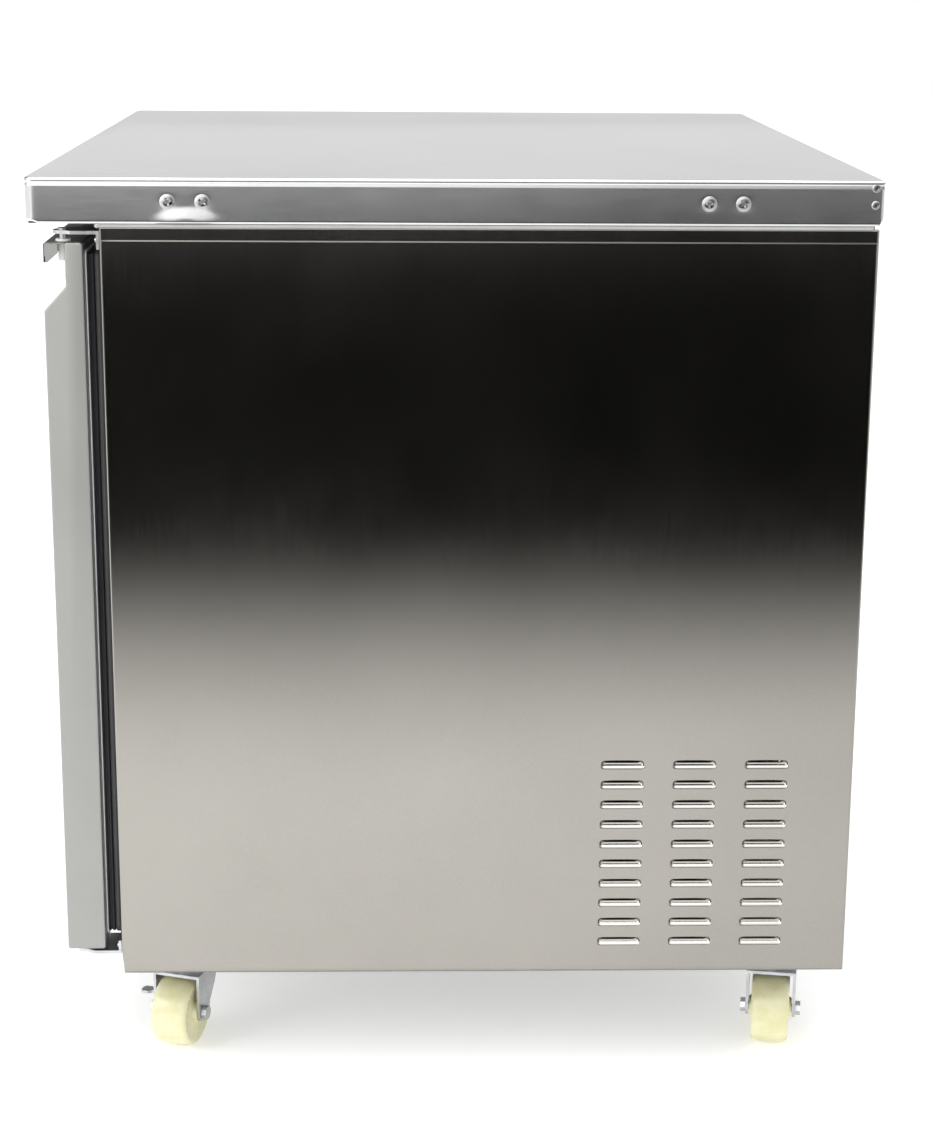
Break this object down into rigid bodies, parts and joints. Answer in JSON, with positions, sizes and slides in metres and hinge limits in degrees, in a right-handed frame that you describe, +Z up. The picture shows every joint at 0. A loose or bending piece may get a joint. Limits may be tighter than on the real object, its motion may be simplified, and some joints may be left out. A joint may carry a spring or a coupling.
{
  "type": "undercounter refrigerator",
  "caption": "Low stainless refrigerator with side-hinged doors, recessed full-width handles, louvred sides, a flat worktop and swivel casters.",
  "frame": {"origin": "on the floor, under the middle of the worktop", "axes": "+X along the width, to the right as one faces the doors; +Y from the doors to the rear; +Z up"},
  "size_m": [0.9144, 0.762, 0.8636],
  "materials": {
    "worktop_steel": "satin",
    "panel_steel": "satin",
    "frame_steel": "satin",
    "liner_aluminium": "satin",
    "foam": "matte",
    "door_lining": "satin",
    "gasket_vinyl": "matte",
    "zinc_plate": "satin",
    "white_nylon": "satin",
    "wheel_nylon": "satin",
    "black_enamel": "satin",
    "coil_aluminium": "satin",
    "black_plastic": "matte",
    "wire_coating": "satin"
  },
  "bodies": {
    "cabinet": {"worktop": "worktop_steel", "worktop_core": "foam", "right_side_panel": "panel_steel", "left_side_panel": "panel_steel", "back_panel": "panel_steel", "rear_grille": "panel_steel", "cord_gland": "black_plastic", "base_pan": "frame_steel", "insulation_body": "foam", "inner_liner": "liner_aluminium", "face_frame": "frame_steel", "right_caster_rail": "frame_steel", "left_caster_rail": "frame_steel", "right_upper_bracket": "zinc_plate", "right_lower_bracket": "zinc_plate", "left_upper_bracket": "zinc_plate", "left_lower_bracket": "zinc_plate", "front_right_caster_plate": "zinc_plate", "rear_right_caster_plate": "zinc_plate", "front_left_caster_plate": "zinc_plate", "rear_left_caster_plate": "zinc_plate", "right_shelf": "wire_coating", "left_shelf": "wire_coating", "evaporator_cover": "liner_aluminium", "evaporator_coil": "coil_aluminium", "evaporator_fan_motor": "black_enamel", "control_box": "black_plastic", "unit_tray": "frame_steel", "compressor": "black_enamel", "condenser_coil": "coil_aluminium", "condenser_shroud": "black_plastic", "condenser_fan_motor": "black_enamel"},
    "right_door": {"right_door_shell": "panel_steel", "right_door_liner": "door_lining", "right_door_gasket": "gasket_vinyl", "right_upper_bush": "white_nylon", "right_lower_bush": "white_nylon"},
    "left_door": {"left_door_shell": "panel_steel", "left_door_liner": "door_lining", "left_door_gasket": "gasket_vinyl", "left_upper_bush": "white_nylon", "left_lower_bush": "white_nylon"},
    "front_right_swivel": {"front_right_fork": "zinc_plate", "front_right_axle": "zinc_plate"},
    "front_right_wheel": {"front_right_wheel": "wheel_nylon"},
    "front_right_brake": {"front_right_brake_lever": "zinc_plate"},
    "rear_right_swivel": {"rear_right_fork": "zinc_plate", "rear_right_axle": "zinc_plate"},
    "rear_right_wheel": {"rear_right_wheel": "wheel_nylon"},
    "front_left_swivel": {"front_left_fork": "zinc_plate", "front_left_axle": "zinc_plate"},
    "front_left_wheel": {"front_left_wheel": "wheel_nylon"},
    "front_left_brake": {"front_left_brake_lever": "zinc_plate"},
    "rear_left_swivel": {"rear_left_fork": "zinc_plate", "rear_left_axle": "zinc_plate"},
    "rear_left_wheel": {"rear_left_wheel": "wheel_nylon"},
    "condenser_fan": {"condenser_fan": "black_plastic"},
    "evaporator_fan": {"evaporator_fan": "black_plastic"},
    "thermostat_knob": {"thermostat_knob": "black_plastic"}
  },
  "joints": [
    {"name": "right_door_hinge", "type": "hinge", "parent": "cabinet", "child": "right_door", "pos_m": [0.4385, -0.3495, 0.47], "axis": [0, 0, 1], "range_deg": [0, 100]},
    {"name": "left_door_hinge", "type": "hinge", "parent": "cabinet", "child": "left_door", "pos_m": [-0.4385, -0.3495, 0.47], "axis": [0, 0, 1], "range_deg": [-100, 0]},
    {"name": "front_right_swivel_joint", "type": "hinge", "parent": "cabinet", "child": "front_right_swivel", "pos_m": [0.358, -0.2615, 0.07], "axis": [0, 0, 1], "continuous": true},
    {"name": "front_right_wheel_spin", "type": "hinge", "parent": "front_right_swivel", "child": "front_right_wheel", "pos_m": [0.3788, -0.26866, 0.0345], "axis": [0.3256, 0.9455, 0], "continuous": true},
    {"name": "front_right_brake_joint", "type": "hinge", "parent": "front_right_swivel", "child": "front_right_brake", "pos_m": [0.36746, -0.26476, 0.0505], "axis": [0.3256, 0.9455, 0], "range_deg": [-22, 0]},
    {"name": "rear_right_swivel_joint", "type": "hinge", "parent": "cabinet", "child": "rear_right_swivel", "pos_m": [0.358, 0.3255, 0.07], "axis": [0, 0, 1], "continuous": true},
    {"name": "rear_right_wheel_spin", "type": "hinge", "parent": "rear_right_swivel", "child": "rear_right_wheel", "pos_m": [0.37967, 0.32168, 0.0345], "axis": [0.1736, 0.9848, 0], "continuous": true},
    {"name": "front_left_swivel_joint", "type": "hinge", "parent": "cabinet", "child": "front_left_swivel", "pos_m": [-0.358, -0.2615, 0.07], "axis": [0, 0, 1], "continuous": true},
    {"name": "front_left_wheel_spin", "type": "hinge", "parent": "front_left_swivel", "child": "front_left_wheel", "pos_m": [-0.33605, -0.26303, 0.0345], "axis": [0.0698, 0.9976, 0], "continuous": true},
    {"name": "front_left_brake_joint", "type": "hinge", "parent": "front_left_swivel", "child": "front_left_brake", "pos_m": [-0.34802, -0.2622, 0.0505], "axis": [0.0698, 0.9976, 0], "range_deg": [-22, 0]},
    {"name": "rear_left_swivel_joint", "type": "hinge", "parent": "cabinet", "child": "rear_left_swivel", "pos_m": [-0.358, 0.3255, 0.07], "axis": [0, 0, 1], "continuous": true},
    {"name": "rear_left_wheel_spin", "type": "hinge", "parent": "rear_left_swivel", "child": "rear_left_wheel", "pos_m": [-0.33603, 0.32665, 0.0345], "axis": [-0.0523, 0.9986, 0], "continuous": true},
    {"name": "condenser_fan_spin", "type": "hinge", "parent": "cabinet", "child": "condenser_fan", "pos_m": [-0.29, 0.235, 0.24], "axis": [1, 0, 0], "continuous": true},
    {"name": "evaporator_fan_spin", "type": "hinge", "parent": "cabinet", "child": "evaporator_fan", "pos_m": [0, 0.253, 0.682], "axis": [0, 1, 0], "continuous": true},
    {"name": "thermostat_turn", "type": "hinge", "parent": "cabinet", "child": "thermostat_knob", "pos_m": [0.265, 0.27, 0.725], "axis": [0, 1, 0], "range_deg": [0, 270]}
  ]
}
